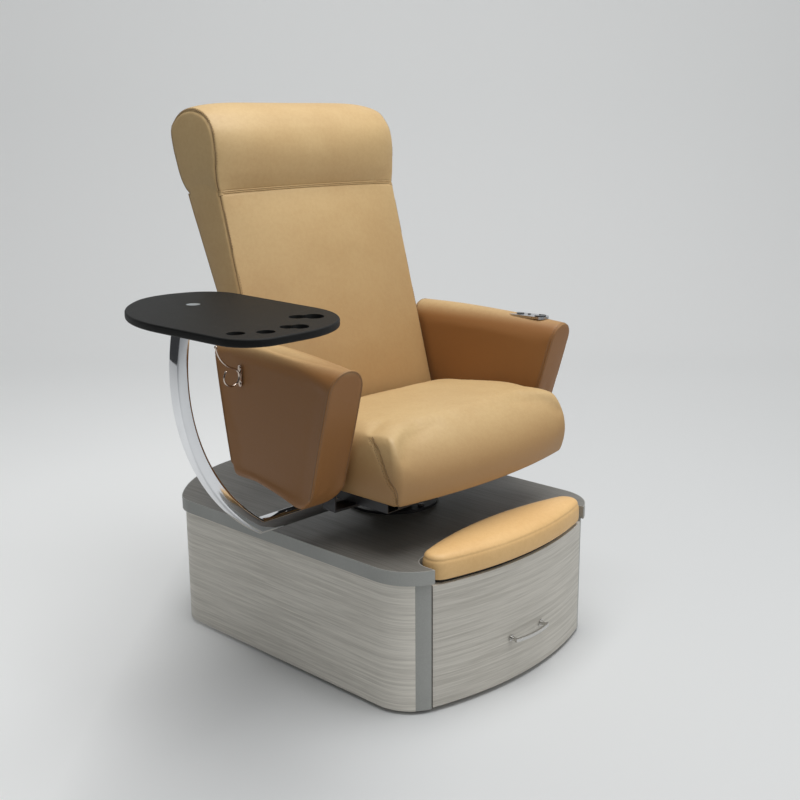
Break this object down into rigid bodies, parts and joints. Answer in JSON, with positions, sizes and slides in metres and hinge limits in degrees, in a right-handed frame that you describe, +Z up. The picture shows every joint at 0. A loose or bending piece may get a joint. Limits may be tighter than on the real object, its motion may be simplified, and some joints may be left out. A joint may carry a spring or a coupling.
{
  "type": "pedicure spa chair",
  "caption": "Upholstered swivelling, reclining chair on a curved laminate base with a pull-out footbath drawer, a footrest, a swinging side tray and an armrest control.",
  "frame": {"origin": "on the floor, under the axis of the seat's column", "axes": "+Z up, -Y the way the sitter faces, -X the side with the tray"},
  "size_m": [1.363, 1.1718, 1.4864],
  "materials": {
    "upholstery": "matte, soft sheen",
    "upholstery_rear": "matte",
    "laminate": "satin laminate with a fine horizontal grain",
    "laminate_deck": "satin laminate with a fine grain across",
    "plain_grey": "satin, plain",
    "board": "raw board",
    "drawer_wood": "clear lacquer",
    "black_board": "matte",
    "basin_white": "glossy",
    "zinc": "zinc plated",
    "rod_steel": "ground",
    "black_metal": "satin powder coat",
    "chrome": "polished",
    "pull_nickel": "satin nickel",
    "hook_bronze": "satin",
    "bezel_silver": "satin",
    "tray_black": "matte with a fine grain",
    "disc_satin": "satin",
    "button_black": "satin",
    "black_plastic": "matte",
    "nylon": "matte"
  },
  "bodies": {
    "base": {"levelling_feet": "black_plastic", "base_board": "board", "shell_left": "laminate", "shell_right": "laminate", "rear_access_panel": "laminate", "access_panel_screws": "zinc", "panel_battens": "board", "corner_post_left": "plain_grey", "corner_post_right": "plain_grey", "deck_board": "laminate_deck", "deck_edge_band": "plain_grey", "runner_rib_left": "board", "runner_rib_right": "board", "cross_panel": "board", "rear_braces": "board", "outer_runners": "zinc", "column_flange": "black_metal", "column_bolts": "zinc", "power_supply": "black_plastic", "power_inlet": "black_plastic"},
    "runner_stage": {"middle_runners": "zinc"},
    "drawer": {"drawer_front": "laminate", "drawer_box": "drawer_wood", "inner_runners": "zinc", "foot_basin": "basin_white", "drawer_pull": "pull_nickel", "pull_screws": "zinc", "footrest_brackets": "zinc", "footrest_board": "black_board", "footrest_pad": "upholstery"},
    "seat": {"swivel_sleeve": "black_metal", "thrust_ring": "nylon", "seat_frame": "black_metal", "seat_board": "drawer_wood", "seat_cushion": "upholstery", "arm_left": "upholstery", "arm_right": "upholstery", "arm_brackets": "black_metal", "arm_bolts": "zinc", "hinge_brackets": "black_metal", "hinge_pins": "zinc", "actuator_body": "black_plastic", "tray_bar": "chrome", "tray_arm": "chrome", "tray_pivot_pin": "rod_steel", "purse_hook": "hook_bronze", "hook_screws": "hook_bronze", "control_housing": "bezel_silver"},
    "back": {"back_cushion": "upholstery", "head_pillow": "upholstery", "back_rear_panel": "upholstery_rear", "back_frame": "black_metal", "lever_pin": "zinc"},
    "rod": {"actuator_rod": "rod_steel"},
    "tray_body": {"tray": "tray_black", "tray_disc": "disc_satin"},
    "button_a": {"round_button": "button_black"},
    "button_b": {"small_button": "button_black"},
    "button_c": {"crescent_button": "button_black"}
  },
  "joints": [
    {"name": "drawer_slide", "type": "slide", "parent": "base", "child": "drawer", "axis": [0, -1, 0], "range_m": [0, 0.33]},
    {"name": "runner_slide", "type": "slide", "parent": "base", "child": "runner_stage", "axis": [0, -1, 0], "range_m": [0, 0.165]},
    {"name": "seat_swivel", "type": "hinge", "parent": "base", "child": "seat", "pos_m": [0, 0, 0.425], "axis": [0, 0, 1], "range_deg": [-180, 180]},
    {"name": "recline", "type": "hinge", "parent": "seat", "child": "back", "pos_m": [0, 0.168, 0.59], "axis": [-1, 0, 0], "range_deg": [0, 28]},
    {"name": "actuator_slide", "type": "slide", "parent": "seat", "child": "rod", "axis": [0, -1, 0], "range_m": [0, 0.0705]},
    {"name": "tray_swing", "type": "hinge", "parent": "seat", "child": "tray_body", "pos_m": [-0.68, -0.024, 1.013], "axis": [0, 0, 1], "range_deg": [-100, 90]},
    {"name": "round_press", "type": "slide", "parent": "seat", "child": "button_a", "axis": [0, 0, -1], "range_m": [0, 0.0015], "stiffness_N_per_m": 800},
    {"name": "small_press", "type": "slide", "parent": "seat", "child": "button_b", "axis": [0, 0, -1], "range_m": [0, 0.0015], "stiffness_N_per_m": 800},
    {"name": "crescent_press", "type": "slide", "parent": "seat", "child": "button_c", "axis": [0, 0, -1], "range_m": [0, 0.0015], "stiffness_N_per_m": 800}
  ],
  "couplings": [
    {"joint": "runner_slide", "follows": "drawer_slide", "ratio": 0.5},
    {"joint": "actuator_slide", "follows": "recline", "m_per_rad": 0.14356}
  ]
}
